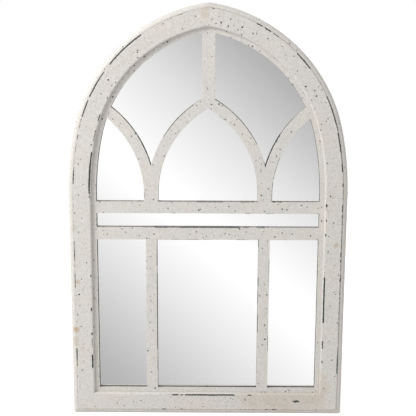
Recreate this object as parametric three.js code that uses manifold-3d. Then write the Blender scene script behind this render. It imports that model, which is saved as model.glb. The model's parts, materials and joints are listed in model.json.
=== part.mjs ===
// Arched window mirror: a painted frame of five members, a flat cut fretwork lying on one sheet of
// mirror glass, a backing board held by turn buttons, and two D-ring hangers.
//
// Everything is drawn upright in the bench frame of the group `mirror`: X runs across the mirror,
// Y up from its foot, and Z forward from the flat back of the frame. The last lines of the file turn
// that frame so that Z is up, the face looks along -Y, and the origin lies on the wall behind the
// mirror, midway between the two hooks that it hangs from. All sizes are in millimetres.

import * as THREE from 'three';
import { mergeVertices } from 'three/addons/utils/BufferGeometryUtils.js';
import Module from 'manifold-3d';

const wasm = await Module();
wasm.setup();

// ---------------------------------------------------------------- driving dimensions

// Outline: straight stiles up to the springing, then on each side a long haunch arc that runs on
// into a tighter crown arc, and meets the other side in a blunt point.
const WIDTH = 610;
const HEIGHT = 914;
const HAUNCH_RADIUS = 694;
const HAUNCH_ANGLE = THREE.MathUtils.degToRad(12);
const CROWN_RADIUS = 344.5;
const CORNER_RADIUS = 5; // of the bottom corners

// Section of the frame members, measured inwards from the outline.
const FRAME_WIDTH = 50;
const FACE_RISE = 7; // how far the face stands in front of the fretwork
const BEAD_WIDTH = 10.5; // flattened quarter round along the outer edge
const BEAD_RISE = 7;
const BEAD_STEP = 1.2; // fillet between that bead and the face
const ROUND_WIDTH = 4.3; // round-over along the inner edge
const ROUND_DROP = 5.6;
const REBATE_WIDTH = 14;

// The stack in the rebate.
const FRETWORK_THICKNESS = 6;
const GLASS_THICKNESS = 4;
const BACKING_THICKNESS = 3;
const GAP = 0.3; // between faces that touch
const EDGE_PLAY = 0.8; // round the edges of what lies in the rebate
const END_PLAY = 0.8; // at the ends of dowels and screws

// Fretwork.
const LIP_WIDTH = 6.4; // rim that shows inside the frame
const BAR_DROP = 10.5; // from the springing down to the top of the upper crossbar
const UPPER_BAR = 25.5;
const STRIP = 31.5; // clear height between the crossbars
const LOWER_BAR = 27.5;
const STILT = 15.5; // upright stretch between the upper crossbar and the arcs
const LANCET_HALF_SPAN = 108.4;
const ARC_WIDTH = 24;
const STEM_WIDTH = 30.8;
const MULLION_WIDTH = 24.5;
const KING_BAR_WIDTH = 27.5;
const BRANCH_SWEEP = THREE.MathUtils.degToRad(66); // how far a branch runs before the rim cuts it

// Dowels in the joints of the frame.
const MITRE_DOWEL = { radius: 3, length: 30, insets: { outer: 16, inner: 27 } };
const SPRINGING_DOWEL = { radius: 4, length: 40, insets: { outer: 12, inner: 26 } };
const APEX_DOWEL = { radius: 3, length: 30, insets: { upper: 13, lower: 27 } };
const DOWEL_CHAMFER = 0.8;

// Screws.
const SCREW_RADIUS = 1.5;
const SCREW_LENGTH = 13; // under the head
const SCREW_POINT = 3;
const HEAD_RADIUS = 3.5;
const HEAD_HEIGHT = 2.2;
const RECESS_SLOT = 0.9;
const RECESS_LENGTH = 4;
const RECESS_DEPTH = 1.2;

// Turn buttons.
const BUTTON_THICKNESS = 1.2;
const BUTTON_REACH = 20; // from the screw to the centre of the tip
const BUTTON_HUB_RADIUS = 6;
const BUTTON_TIP_RADIUS = 4.5;
const BUTTON_INSET = 26; // of the screw, from the outline
const BOTTOM_BUTTON_OFFSET = 150; // from the centre line
const LOWER_BUTTON_HEIGHT = 150;
const UPPER_BUTTON_DROP = 100; // below the springing
const ARCH_BUTTON_ANGLE = THREE.MathUtils.degToRad(46); // round the crown arc, from the horizontal

// Hangers.
const HANGER_RISE = 120; // from the springing to the axis that the D-ring swings on
const HANGER_INSET = 18;
const STRAP_THICKNESS = 1;
const STRAP_WIDTH = 12;
const STRAP_LENGTH = 50;
const STRAP_SCREWS = { upper: 28, lower: 42 }; // below the axis
const WIRE_RADIUS = 1.5;
const RING_CORNER = 2.5;
const RING_LEG = 6;

// Wall bumpers.
const STANDOFF = 6.5; // from the back of the frame to the wall
const BUMPER_RADIUS = 6;
const BUMPER_CHAMFER = 1;
const BUMPER_HEIGHT = 60;

// Fineness of round work.
const ARC_STEP = THREE.MathUtils.degToRad(2); // of the frame's bends
const FRET_ARC_SEGMENTS = 14; // half the number of facets along an arc of the flat work
const ROUND_SEGMENTS = 12;
const WIRE_SEGMENTS = 44;

// ---------------------------------------------------------------- sizes that follow

const HALF_WIDTH = WIDTH / 2;
const REBATE_DEPTH = FRETWORK_THICKNESS + GLASS_THICKNESS + BACKING_THICKNESS + 3 * GAP;
const FACE_Z = REBATE_DEPTH + FACE_RISE;
const BACKING_Z = 0;
const GLASS_Z = BACKING_THICKNESS + GAP;
const FRETWORK_Z = GLASS_Z + GLASS_THICKNESS + GAP;
const REBATE_WALL = FRAME_WIDTH - REBATE_WIDTH;
const SHEET_INSET = REBATE_WALL + EDGE_PLAY;
const LIP_INSET = FRAME_WIDTH + LIP_WIDTH;

// Centres of the right-hand arcs, which share a tangent. The springing, the height at which the
// straight stiles end, is the one that puts the point of the outline at HEIGHT.
const haunch = new THREE.Vector2(HALF_WIDTH - HAUNCH_RADIUS, 0);
const crown = new THREE.Vector2(HAUNCH_RADIUS - CROWN_RADIUS, 0)
  .rotateAround(new THREE.Vector2(), HAUNCH_ANGLE)
  .add(haunch);
const SPRINGING = HEIGHT - crown.y - Math.sqrt(CROWN_RADIUS ** 2 - crown.x ** 2);
haunch.y += SPRINGING;
crown.y += SPRINGING;

// ---------------------------------------------------------------- solids

// A closed geometry as a solid that can be joined and cut.
function solid(geometry) {
  const bare = geometry.index ? geometry.toNonIndexed() : geometry.clone();
  bare.deleteAttribute('normal');
  bare.deleteAttribute('uv');
  const merged = mergeVertices(bare, 1e-3);
  const corners = merged.index.array;
  const triVerts = [];
  for (let i = 0; i < corners.length; i += 3) {
    const [a, b, c] = corners.slice(i, i + 3);
    if (a !== b && b !== c && c !== a) triVerts.push(a, b, c);
  }
  return new wasm.Manifold(new wasm.Mesh({
    numProp: 3,
    vertProperties: merged.attributes.position.array,
    triVerts: new Uint32Array(triVerts),
  }));
}

// The solid as a flat-shaded geometry.
function geometryOf(shape) {
  const { vertProperties, triVerts } = shape.getMesh();
  const indexed = new THREE.BufferGeometry();
  indexed.setAttribute('position', new THREE.BufferAttribute(vertProperties, 3));
  indexed.setIndex(new THREE.BufferAttribute(triVerts, 1));
  const flat = indexed.toNonIndexed();
  flat.computeVertexNormals();
  return flat;
}

const union = (solids) => solids.reduce((all, next) => all.add(next));
const cut = (body, tools) => tools.reduce((left, tool) => left.subtract(tool), body);

// A flat piece of the given outline, from z = back to z = back + thickness.
function prism(outline, back, thickness, curveSegments = FRET_ARC_SEGMENTS) {
  const geometry = new THREE.ExtrudeGeometry(outline, {
    depth: thickness,
    bevelEnabled: false,
    curveSegments,
  });
  return solid(geometry.translate(0, 0, back));
}

// A turned piece with its axis along Z. The profile is a list of [radius, z] pairs.
function turned(profile) {
  const points = profile.map(([radius, z]) => new THREE.Vector2(radius, z));
  return solid(new THREE.LatheGeometry(points, ROUND_SEGMENTS).rotateX(Math.PI / 2));
}

// The mirror image on the other side of the centre line.
const mirrored = (shape) => shape.mirror([1, 0, 0]);

function rectangle(left, bottom, right, top) {
  const shape = new THREE.Shape();
  shape.moveTo(left, bottom);
  shape.lineTo(right, bottom);
  shape.lineTo(right, top);
  shape.lineTo(left, top);
  shape.closePath();
  return shape;
}

// A strip of constant width that follows an arc.
function arcBand(centreX, centreY, inner, outer, from, to) {
  const shape = new THREE.Shape();
  shape.absarc(centreX, centreY, outer, from, to, false);
  shape.absarc(centreX, centreY, inner, to, from, true);
  shape.closePath();
  return shape;
}

// ---------------------------------------------------------------- outline

// Angle round the crown centre at which a line parallel to the outline reaches the plane x = side.
const crownEnd = (inset, side = 0) => Math.acos((side - crown.x) / (CROWN_RADIUS - inset));

// The outline, drawn in by `inset` all round.
function archOutline(inset) {
  const half = HALF_WIDTH - inset;
  const haunchRadius = HAUNCH_RADIUS - inset;
  const crownRadius = CROWN_RADIUS - inset;
  const end = crownEnd(inset);
  const shape = new THREE.Shape();
  shape.moveTo(-half, inset);
  shape.lineTo(half, inset);
  shape.absarc(haunch.x, haunch.y, haunchRadius, 0, HAUNCH_ANGLE, false);
  shape.absarc(crown.x, crown.y, crownRadius, HAUNCH_ANGLE, end, false);
  shape.absarc(-crown.x, crown.y, crownRadius, Math.PI - end, Math.PI - HAUNCH_ANGLE, false);
  shape.absarc(-haunch.x, haunch.y, haunchRadius, Math.PI - HAUNCH_ANGLE, Math.PI, false);
  shape.closePath();
  return shape;
}

// Point at `inset` from the haunch arc, at a height above the springing.
function haunchPoint(inset, rise) {
  const reach = Math.sqrt((HAUNCH_RADIUS - inset) ** 2 - rise ** 2);
  return new THREE.Vector2(haunch.x + reach, haunch.y + rise);
}

// ---------------------------------------------------------------- frame members

// Section of a member: u runs inwards from the outline, v forward from the back.
function memberSection() {
  const beadBase = FACE_Z - BEAD_STEP - BEAD_RISE;
  const faceEnd = FRAME_WIDTH - ROUND_WIDTH;
  const roundFoot = FACE_Z - ROUND_DROP;
  const section = new THREE.Shape();
  section.moveTo(0, 0);
  section.lineTo(0, beadBase);
  section.absellipse(BEAD_WIDTH, beadBase, BEAD_WIDTH, BEAD_RISE, Math.PI, Math.PI / 2, true);
  section.lineTo(BEAD_WIDTH, FACE_Z);
  section.absellipse(faceEnd, roundFoot, ROUND_WIDTH, ROUND_DROP, Math.PI / 2, 0, true);
  section.lineTo(FRAME_WIDTH, REBATE_DEPTH);
  section.lineTo(REBATE_WALL, REBATE_DEPTH);
  section.lineTo(REBATE_WALL, 0);
  section.closePath();
  return section;
}

// A bar of that section bent along its stations. A station gives, for an inset from the outline, the
// point of the mirror's plane that the section passes through there.
function member(stations) {
  const bar = new THREE.ExtrudeGeometry(memberSection(), {
    depth: stations.length - 1,
    steps: stations.length - 1,
    bevelEnabled: false,
    curveSegments: 3,
  });
  const corner = bar.getAttribute('position');
  for (let i = 0; i < corner.count; i += 1) {
    const place = stations[Math.round(corner.getZ(i))](corner.getX(i));
    corner.setXYZ(i, place.x, place.y, corner.getY(i));
  }
  return solid(bar);
}

const MITRE_GAP = GAP * Math.SQRT1_2;

function bottomRail() {
  return member([
    (inset) => new THREE.Vector2(-HALF_WIDTH + inset + MITRE_GAP, inset),
    (inset) => new THREE.Vector2(HALF_WIDTH - inset - MITRE_GAP, inset),
  ]);
}

function rightStile() {
  return member([
    (inset) => new THREE.Vector2(HALF_WIDTH - inset, inset + MITRE_GAP),
    (inset) => new THREE.Vector2(HALF_WIDTH - inset, SPRINGING - GAP),
  ]);
}

// The arch member's stations fan out towards the apex, so that its end is a plane beside x = 0.
function rightArch() {
  const stations = [];
  const haunchSteps = Math.ceil(HAUNCH_ANGLE / ARC_STEP);
  const crownSteps = Math.ceil((crownEnd(0) - HAUNCH_ANGLE) / ARC_STEP);
  const around = (centre, radius, angle) => new THREE.Vector2(
    centre.x + radius * Math.cos(angle),
    centre.y + radius * Math.sin(angle),
  );
  for (let i = 0; i < haunchSteps; i += 1) {
    const angle = (HAUNCH_ANGLE * i) / haunchSteps;
    stations.push((inset) => around(haunch, HAUNCH_RADIUS - inset, angle));
  }
  for (let i = 0; i <= crownSteps; i += 1) {
    stations.push((inset) => {
      const end = crownEnd(inset, GAP / 2);
      const angle = THREE.MathUtils.lerp(HAUNCH_ANGLE, end, i / crownSteps);
      return around(crown, CROWN_RADIUS - inset, angle);
    });
  }
  return member(stations);
}

// What rounding off the right-hand bottom corner takes away.
function cornerWaste() {
  const straight = HALF_WIDTH - CORNER_RADIUS;
  const beyond = HALF_WIDTH + 1;
  const waste = new THREE.Shape();
  waste.moveTo(straight, -1);
  waste.lineTo(beyond, -1);
  waste.lineTo(beyond, CORNER_RADIUS);
  waste.absarc(straight, CORNER_RADIUS, CORNER_RADIUS, 0, -Math.PI / 2, true);
  waste.closePath();
  return prism(waste, -1, FACE_Z + 2, ROUND_SEGMENTS / 4);
}

// ---------------------------------------------------------------- dowels

// Where the dowels of a joint lie: the middle of each one's length, in the mirror's plane, and the
// angle of its axis from the upright.
const seats = (size, angle, middle) => (
  Object.entries(size.insets).map(([name, inset]) => ({ name, size, angle, at: middle(inset) }))
);
const mitreSeats = seats(MITRE_DOWEL, -Math.PI / 4, (inset) => (
  new THREE.Vector2(HALF_WIDTH - inset, inset)
));
const springingSeats = seats(SPRINGING_DOWEL, 0, (inset) => (
  new THREE.Vector2(HALF_WIDTH - inset, SPRINGING - GAP / 2)
));
const apexSeats = seats(APEX_DOWEL, Math.PI / 2, (inset) => (
  new THREE.Vector2(0, crown.y + (CROWN_RADIUS - inset) * Math.sin(crownEnd(inset)))
));

// A dowel, or with play the hole for it, lying halfway through the thickness of the frame.
function dowel({ size, angle, at }, play = 0, endPlay = 0) {
  const radius = size.radius + play;
  const half = size.length / 2 + endPlay;
  const chamfer = play ? 0 : DOWEL_CHAMFER;
  const peg = new THREE.LatheGeometry([
    new THREE.Vector2(0, -half),
    new THREE.Vector2(radius - chamfer, -half),
    new THREE.Vector2(radius, -half + chamfer),
    new THREE.Vector2(radius, half - chamfer),
    new THREE.Vector2(radius - chamfer, half),
    new THREE.Vector2(0, half),
  ], ROUND_SEGMENTS);
  peg.rotateZ(angle);
  return solid(peg.translate(at.x, at.y, FACE_Z / 2));
}

const dowelHole = (seat) => dowel(seat, GAP, END_PLAY);

// ---------------------------------------------------------------- screws

// Pan head screw pointing forward into the frame, its head behind the plane z = -under.
function screw(x, y, under) {
  const body = turned([
    [0, SCREW_LENGTH],
    [SCREW_RADIUS, SCREW_LENGTH - SCREW_POINT],
    [SCREW_RADIUS, 0],
    [HEAD_RADIUS, 0],
    [HEAD_RADIUS, -HEAD_HEIGHT * 0.45],
    [HEAD_RADIUS * 0.8, -HEAD_HEIGHT * 0.85],
    [HEAD_RADIUS * 0.4, -HEAD_HEIGHT],
    [0, -HEAD_HEIGHT],
  ].reverse());
  const arm = RECESS_LENGTH / 2;
  const half = RECESS_SLOT / 2;
  const recess = prism(rectangle(-arm, -half, arm, half), -HEAD_HEIGHT - 1, RECESS_DEPTH + 1)
    .add(prism(rectangle(-half, -arm, half, arm), -HEAD_HEIGHT - 1, RECESS_DEPTH + 1));
  return body.subtract(recess).translate([x, y, -under]);
}

// Pilot hole in the frame for a screw whose head lies behind z = -under.
function pilotHole(at, under) {
  const radius = SCREW_RADIUS + GAP;
  const depth = SCREW_LENGTH - under + END_PLAY;
  return turned([[0, -1], [radius, -1], [radius, depth], [0, depth]]).translate([at.x, at.y, 0]);
}

// ---------------------------------------------------------------- turn buttons

const BUTTON_SEAT = GAP; // gap between the frame's back and the button
const BUTTON_HEAD_UNDER = BUTTON_SEAT + BUTTON_THICKNESS + GAP;

// Where each right-hand or bottom button turns, and the way that its tip points when it is closed.
const crownSpot = new THREE.Vector2(Math.cos(ARCH_BUTTON_ANGLE), Math.sin(ARCH_BUTTON_ANGLE))
  .multiplyScalar(CROWN_RADIUS - BUTTON_INSET).add(crown);
const stileSpot = (height) => new THREE.Vector2(HALF_WIDTH - BUTTON_INSET, height);
const buttonSpots = {
  bottom: { at: new THREE.Vector2(BOTTOM_BUTTON_OFFSET, BUTTON_INSET), points: Math.PI / 2 },
  lower: { at: stileSpot(LOWER_BUTTON_HEIGHT), points: Math.PI },
  upper: { at: stileSpot(SPRINGING - UPPER_BUTTON_DROP), points: Math.PI },
  arch: { at: crownSpot, points: Math.PI + ARCH_BUTTON_ANGLE },
};

// A pressed plate: a round hub, straight sides and a smaller round tip, its hole on the origin and
// its tip towards +X.
function turnButton() {
  const lean = Math.acos((BUTTON_HUB_RADIUS - BUTTON_TIP_RADIUS) / BUTTON_REACH);
  const outline = new THREE.Shape();
  outline.absarc(0, 0, BUTTON_HUB_RADIUS, lean, 2 * Math.PI - lean, false);
  outline.absarc(BUTTON_REACH, 0, BUTTON_TIP_RADIUS, -lean, lean, false);
  outline.closePath();
  const hole = new THREE.Path();
  hole.absarc(0, 0, SCREW_RADIUS + GAP, 0, 2 * Math.PI, true);
  outline.holes.push(hole);
  return prism(outline, -BUTTON_SEAT - BUTTON_THICKNESS, BUTTON_THICKNESS, ROUND_SEGMENTS / 2);
}

// ---------------------------------------------------------------- hangers

const hangerPivot = haunchPoint(HANGER_INSET, HANGER_RISE);
const EYE_RADIUS = WIRE_RADIUS + GAP;
const LOOP_RADIUS = EYE_RADIUS + STRAP_THICKNESS;
const PIVOT_DEPTH = GAP + LOOP_RADIUS; // of the ring's axis, behind the back of the frame
const STRAP_HEAD_UNDER = GAP + 2 * STRAP_THICKNESS + GAP;
const RING_HALF_WIDTH = STRAP_WIDTH / 2 + GAP + RING_CORNER;
const RING_REACH = RING_CORNER + RING_LEG + RING_HALF_WIDTH;
const RING_TILT = Math.asin(STRAP_THICKNESS / RING_REACH); // the bow rests on the doubled strap

// Steel strip folded round the ring's bar: the pivot lies on the origin, the frame towards +Z.
function hangerStrap() {
  const face = LOOP_RADIUS - 2 * STRAP_THICKNESS;
  const join = Math.acos(face / LOOP_RADIUS);
  const side = new THREE.Shape();
  side.moveTo(LOOP_RADIUS, 0);
  side.lineTo(LOOP_RADIUS, -STRAP_LENGTH);
  side.lineTo(face, -STRAP_LENGTH);
  side.absarc(0, 0, LOOP_RADIUS, -join, -2 * Math.PI, true);
  side.closePath();
  const eye = new THREE.Path();
  eye.absarc(0, 0, EYE_RADIUS, 0, 2 * Math.PI, false);
  side.holes.push(eye);
  const strip = new THREE.ExtrudeGeometry(side, {
    depth: STRAP_WIDTH,
    bevelEnabled: false,
    curveSegments: ROUND_SEGMENTS / 2,
  });
  strip.translate(0, 0, -STRAP_WIDTH / 2).rotateY(-Math.PI / 2);
  const half = STRAP_WIDTH / 2;
  const rounded = new THREE.Shape();
  rounded.moveTo(half, LOOP_RADIUS + 1);
  rounded.lineTo(-half, LOOP_RADIUS + 1);
  rounded.absarc(0, half - STRAP_LENGTH, half, Math.PI, 2 * Math.PI, false);
  rounded.closePath();
  const blank = prism(rounded, -LOOP_RADIUS - 1, 2 * LOOP_RADIUS + 2, ROUND_SEGMENTS / 2);
  const holes = Object.values(STRAP_SCREWS).map((below) => {
    const radius = SCREW_RADIUS + GAP;
    const reach = LOOP_RADIUS + 1;
    return turned([[0, -reach], [radius, -reach], [radius, reach], [0, reach]])
      .translate([0, -below, 0]);
  });
  return cut(solid(strip).intersect(blank), holes);
}

// Centre line of the D-ring's wire, in the ring's own plane: the bar on the X axis, the bow below.
class RingLine extends THREE.Curve {
  constructor() {
    super();
    const corner = RING_HALF_WIDTH - RING_CORNER;
    const legEnd = -RING_CORNER - RING_LEG;
    this.line = new THREE.Path();
    this.line.moveTo(0, 0);
    this.line.lineTo(-corner, 0);
    this.line.absarc(-corner, -RING_CORNER, RING_CORNER, Math.PI / 2, Math.PI, false);
    this.line.lineTo(-RING_HALF_WIDTH, legEnd);
    this.line.absarc(0, legEnd, RING_HALF_WIDTH, Math.PI, 2 * Math.PI, false);
    this.line.lineTo(RING_HALF_WIDTH, -RING_CORNER);
    this.line.absarc(corner, -RING_CORNER, RING_CORNER, 0, Math.PI / 2, false);
    this.line.lineTo(0, 0);
  }

  getPoint(t, target = new THREE.Vector3()) {
    const place = this.line.getPointAt(t);
    return target.set(place.x, place.y, 0);
  }
}

function hangerRing() {
  const wire = new THREE.TubeGeometry(new RingLine(), WIRE_SEGMENTS, WIRE_RADIUS, 8, true);
  return solid(wire);
}

// ---------------------------------------------------------------- fretwork

function fretwork() {
  const blank = archOutline(SHEET_INSET);
  const rim = archOutline(SHEET_INSET);
  rim.holes.push(archOutline(LIP_INSET));
  const slab = (outline) => prism(outline, FRETWORK_Z, FRETWORK_THICKNESS);

  const side = HALF_WIDTH - SHEET_INSET;
  const upperBarTop = SPRINGING - BAR_DROP;
  const upperBarBase = upperBarTop - UPPER_BAR;
  const lowerBarTop = upperBarBase - STRIP;
  const lowerBarBase = lowerBarTop - LOWER_BAR;
  const arcBase = upperBarTop + STILT;
  const stemAxis = LANCET_HALF_SPAN + STEM_WIDTH / 2;
  const inner = 2 * LANCET_HALF_SPAN; // an equilateral lancet: each arc's centre is the other's foot
  const outer = inner + ARC_WIDTH;
  const lancetApex = arcBase + Math.sqrt(outer ** 2 - LANCET_HALF_SPAN ** 2);

  const crossbars = [
    slab(rectangle(-side, lowerBarBase, side, lowerBarTop)),
    slab(rectangle(-side, upperBarBase, side, upperBarTop)),
  ];
  const kingBar = slab(rectangle(
    -KING_BAR_WIDTH / 2,
    lancetApex - ARC_WIDTH / 2,
    KING_BAR_WIDTH / 2,
    HEIGHT - (SHEET_INSET + LIP_INSET) / 2,
  ));
  // The right-hand half: mullion, stem, one side of the lancet, and the branch that springs from the
  // same stem, which is that side's mirror image in the stem's axis.
  const half = [
    slab(rectangle(
      stemAxis - MULLION_WIDTH / 2,
      (SHEET_INSET + LIP_INSET) / 2,
      stemAxis + MULLION_WIDTH / 2,
      lowerBarBase + LOWER_BAR / 2,
    )),
    slab(rectangle(
      stemAxis - STEM_WIDTH / 2,
      upperBarTop - UPPER_BAR / 2,
      stemAxis + STEM_WIDTH / 2,
      arcBase,
    )),
    slab(arcBand(
      -LANCET_HALF_SPAN,
      arcBase,
      inner,
      outer,
      0,
      Math.acos(LANCET_HALF_SPAN / outer),
    )),
    slab(arcBand(
      2 * stemAxis + LANCET_HALF_SPAN,
      arcBase,
      inner,
      outer,
      Math.PI - BRANCH_SWEEP,
      Math.PI,
    )),
  ];
  const right = union(half);
  // Each side of the lancet ends on the centre line, so the two halves meet in its point.
  return union([slab(rim), ...crossbars, kingBar, right, mirrored(right)]).intersect(slab(blank));
}

// ---------------------------------------------------------------- materials

const finish = (color, roughness, metalness = 0) => (
  new THREE.MeshStandardMaterial({ color, roughness, metalness })
);
const paint = () => finish(0xd6d2cb, 0.55);
const silvered = () => finish(0xe4e6e8, 0.05, 1);
const board = () => finish(0x9a7a56, 0.85);
const beech = () => finish(0xc9a877, 0.7);
const zinc = () => finish(0xb4b6b8, 0.35, 1);
const rubber = () => finish(0x2b2b2c, 0.9);

// ---------------------------------------------------------------- assembly

const mirror = new THREE.Group();

function place(name, geometry, material, parent = mirror) {
  const mesh = new THREE.Mesh(geometry, material);
  mesh.name = name;
  parent.add(mesh);
  return mesh;
}

// Both hands of a piece that is drawn on the right.
function placePair(name, shape, material) {
  place(`${name}_right`, geometryOf(shape), material());
  place(`${name}_left`, geometryOf(mirrored(shape)), material());
}

// Frame members, each with the holes for what goes into it, and rounded bottom corners.
const buttonHole = (spot) => pilotHole(spot.at, BUTTON_HEAD_UNDER);
const strapHoles = Object.values(STRAP_SCREWS).map((below) => (
  pilotHole(new THREE.Vector2(hangerPivot.x, hangerPivot.y - below), STRAP_HEAD_UNDER)
));
const mitreHoles = mitreSeats.map(dowelHole);
const springingHoles = springingSeats.map(dowelHole);
const railCuts = [cornerWaste(), ...mitreHoles, buttonHole(buttonSpots.bottom)];
const stileCuts = [
  cornerWaste(),
  ...mitreHoles,
  ...springingHoles,
  buttonHole(buttonSpots.lower),
  buttonHole(buttonSpots.upper),
];
const archCuts = [
  ...springingHoles,
  ...apexSeats.map(dowelHole),
  buttonHole(buttonSpots.arch),
  ...strapHoles,
];
const rail = cut(bottomRail(), [...railCuts, ...railCuts.map(mirrored)]);
place('bottom_rail', geometryOf(rail), paint());
placePair('stile', cut(rightStile(), stileCuts), paint);
placePair('arch_member', cut(rightArch(), archCuts), paint);

// What lies in the rebate, from the front to the back.
place('fretwork', geometryOf(fretwork()), paint());
const glassOutline = archOutline(SHEET_INSET);
place('mirror_glass', geometryOf(prism(glassOutline, GLASS_Z, GLASS_THICKNESS)), silvered());
place('backing_board', geometryOf(prism(glassOutline, BACKING_Z, BACKING_THICKNESS)), board());

// Dowels.
for (const seat of mitreSeats) placePair(`mitre_dowel_${seat.name}`, dowel(seat), beech);
for (const seat of springingSeats) placePair(`springing_dowel_${seat.name}`, dowel(seat), beech);
for (const seat of apexSeats) place(`apex_dowel_${seat.name}`, geometryOf(dowel(seat)), beech());

// Turn buttons, closed over the edge of the backing board, and their screws.
for (const [where, spot] of Object.entries(buttonSpots)) {
  const { x, y } = spot.at;
  const right = place(`turn_button_${where}_right`, geometryOf(turnButton()), zinc());
  right.position.set(x, y, 0);
  right.rotation.z = spot.points;
  const left = place(`turn_button_${where}_left`, geometryOf(turnButton()), zinc());
  left.position.set(-x, y, 0);
  left.rotation.z = Math.PI - spot.points;
  placePair(`turn_button_screw_${where}`, screw(x, y, BUTTON_HEAD_UNDER), zinc);
}

// Hangers: each ring hangs down at rest, its bow on the strap.
for (const [where, below] of Object.entries(STRAP_SCREWS)) {
  const strapScrew = screw(hangerPivot.x, hangerPivot.y - below, STRAP_HEAD_UNDER);
  placePair(`hanger_screw_${where}`, strapScrew, zinc);
}
for (const [side, sign] of [['right', 1], ['left', -1]]) {
  const hanger = new THREE.Group();
  hanger.position.set(sign * hangerPivot.x, hangerPivot.y, -PIVOT_DEPTH);
  mirror.add(hanger);
  place(`hanger_strap_${side}`, geometryOf(hangerStrap()), zinc(), hanger);
  const ring = place(`hanger_ring_${side}`, geometryOf(hangerRing()), zinc(), hanger);
  ring.rotation.x = RING_TILT;
}

// Wall bumpers at the foot of the stiles.
const bumper = turned([
  [0, -STANDOFF],
  [BUMPER_RADIUS - BUMPER_CHAMFER, -STANDOFF],
  [BUMPER_RADIUS, -STANDOFF + BUMPER_CHAMFER],
  [BUMPER_RADIUS, -GAP],
  [0, -GAP],
]).translate([HALF_WIDTH - REBATE_WALL / 2, BUMPER_HEIGHT, 0]);
placePair('wall_bumper', bumper, rubber);

// Stand the mirror up, its face towards -Y, its bumpers on the wall plane y = 0, and the height of
// the hooks, which hold the raised rings by their bows, at z = 0.
const HOOK_HEIGHT = hangerPivot.y + RING_REACH - WIRE_RADIUS;
mirror.rotation.x = Math.PI / 2;
mirror.position.set(0, -STANDOFF, -HOOK_HEIGHT);

const part = new THREE.Group();
part.add(mirror);

export default part;
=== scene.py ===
"""Looks of the arched window mirror: painted and worn wood, silvered glass and zinc fittings."""

import json
import math

import bmesh
import bpy
import numpy as np
from mathutils import Matrix, Vector
from mathutils.geometry import area_tri, delaunay_2d_cdt


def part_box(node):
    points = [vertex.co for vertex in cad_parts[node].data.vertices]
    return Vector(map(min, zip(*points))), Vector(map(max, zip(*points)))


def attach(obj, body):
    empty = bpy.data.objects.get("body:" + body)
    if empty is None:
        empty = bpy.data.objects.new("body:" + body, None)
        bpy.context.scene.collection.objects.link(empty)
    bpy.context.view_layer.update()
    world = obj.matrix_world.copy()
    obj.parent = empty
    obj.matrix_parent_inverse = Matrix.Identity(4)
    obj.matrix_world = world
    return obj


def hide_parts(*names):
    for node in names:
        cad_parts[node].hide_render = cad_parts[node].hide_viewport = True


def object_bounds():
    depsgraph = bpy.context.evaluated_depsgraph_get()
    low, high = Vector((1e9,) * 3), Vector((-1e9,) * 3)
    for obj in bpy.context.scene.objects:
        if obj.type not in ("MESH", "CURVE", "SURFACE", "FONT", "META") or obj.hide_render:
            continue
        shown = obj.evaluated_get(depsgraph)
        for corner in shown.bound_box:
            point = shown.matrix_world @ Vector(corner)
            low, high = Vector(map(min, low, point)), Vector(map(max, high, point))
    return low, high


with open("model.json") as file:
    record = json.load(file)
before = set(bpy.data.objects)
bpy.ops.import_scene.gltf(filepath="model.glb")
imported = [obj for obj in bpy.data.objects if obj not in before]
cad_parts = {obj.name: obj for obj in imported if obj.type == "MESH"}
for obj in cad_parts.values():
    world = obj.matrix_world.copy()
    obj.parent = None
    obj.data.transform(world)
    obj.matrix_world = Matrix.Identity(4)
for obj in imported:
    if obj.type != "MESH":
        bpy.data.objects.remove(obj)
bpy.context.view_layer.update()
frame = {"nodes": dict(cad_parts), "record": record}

# ---------------------------------------------------------------- sizes
# Drawings are made in millimetres: x across, y up from the foot, z forward from the frame's back.

MM = 0.001
BACK_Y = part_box("backing_board")[1].y
FOOT_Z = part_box("bottom_rail")[0].z
HALF_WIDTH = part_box("bottom_rail")[1].x / MM
HEIGHT = (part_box("arch_member_right")[1].z - FOOT_Z) / MM
REBATE_DEPTH = 13.9
FACE_Z = (BACK_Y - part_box("bottom_rail")[0].y) / MM
FRETWORK_FRONT = (BACK_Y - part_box("fretwork")[0].y) / MM

HAUNCH_RADIUS = 694
HAUNCH_ANGLE = math.radians(12)
CROWN_RADIUS = 344.5
CORNER_RADIUS = 5
FRAME_WIDTH = 50
BEAD_WIDTH = 10.5
BEAD_RISE = 7
BEAD_STEP = 1.2
ROUND_WIDTH = 4.3
ROUND_DROP = 5.6
REBATE_WALL = 36
LIP_EDGE = 60  # inset of the fretwork's lip all round
SEAM = 0.08  # half the hairline left between two members
ARRIS = 0.6  # radius of the face's outer edge
LIP_BEHIND = 6  # how far the fretwork's wider lip reaches behind the frame
FRET_EASE = 0.7  # width of the fretwork's eased front edges
FRET_EDGE = 1.3  # width of the band beside them where the paint is thin
RUB_REACH = 4.5  # how far a worn line of the fretwork reaches
RIM_STEP = 3.0  # longest side along the fretwork's outlines

haunch_x = HALF_WIDTH - HAUNCH_RADIUS
crown_x = haunch_x + (HAUNCH_RADIUS - CROWN_RADIUS) * math.cos(HAUNCH_ANGLE)
crown_rise = (HAUNCH_RADIUS - CROWN_RADIUS) * math.sin(HAUNCH_ANGLE)
SPRINGING = HEIGHT - crown_rise - math.sqrt(CROWN_RADIUS**2 - crown_x**2)
crown_y = SPRINGING + crown_rise
HAUNCH_RUN = HAUNCH_RADIUS * HAUNCH_ANGLE
STEP = 1.3  # spacing of the stations along a member


def place(points):
    """Points of the drawing in the model's frame, in metres."""
    x, y, z = np.asarray(points, float).T * MM
    return np.stack([x, BACK_Y - z, FOOT_Z + y], axis=1)


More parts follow.
